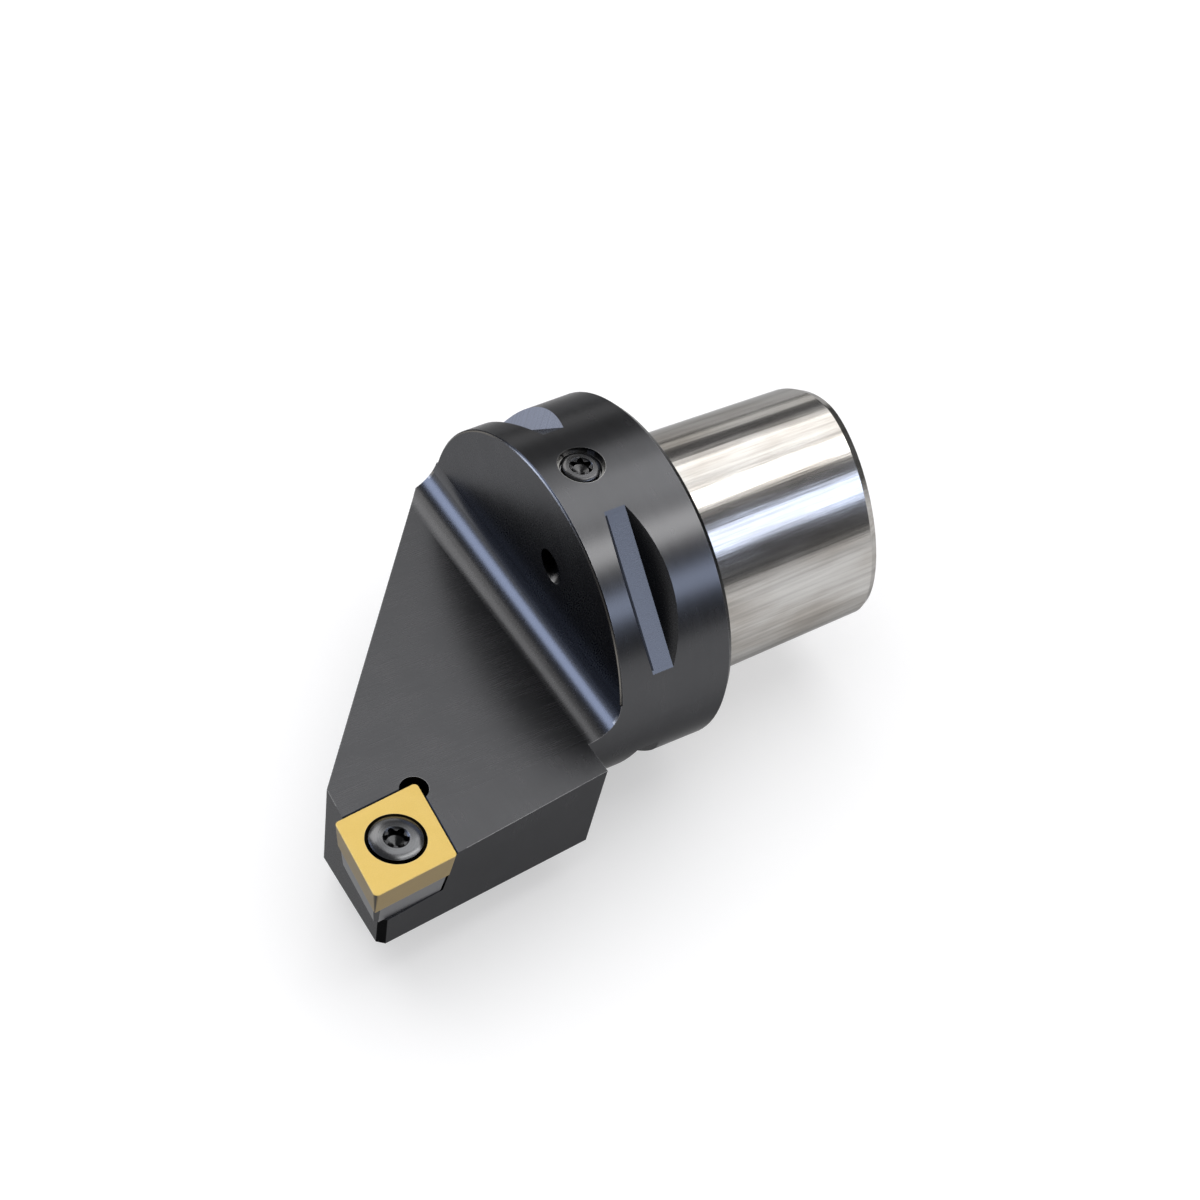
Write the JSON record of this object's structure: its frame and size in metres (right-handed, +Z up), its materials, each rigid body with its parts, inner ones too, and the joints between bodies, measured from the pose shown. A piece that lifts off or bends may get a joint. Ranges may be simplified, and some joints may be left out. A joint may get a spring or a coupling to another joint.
{
  "type": "turning tool holder",
  "caption": "Right-hand turning head on a round flange with a hollow polygon taper shank, carrying a screwed rhombic cutting insert on a shim, with a coolant nozzle in the flange wall.",
  "frame": {"origin": "centre of the flange's rear face, which is the gauge plane round the polygon shank", "axes": "+X forward along the shank's axis to the cutting edge, +Y sideways to the cutting corner, +Z up out of the rake face, with the cutting edge at centre height"},
  "size_m": [0.1138, 0.0746, 0.063],
  "materials": {
    "tool_body": "blackened head and flange, ground bright shank",
    "insert": "matte gold hard coating",
    "shim": "ground hard metal",
    "screws": "polished steel",
    "seal_ring": "plain steel"
  },
  "bodies": {
    "root": {"tool_body": "tool_body", "insert": "insert", "shim": "shim", "shim_screw": "screws", "insert_screw": "screws", "coolant_plug": "screws", "seal_ring": "seal_ring"}
  },
  "joints": []
}
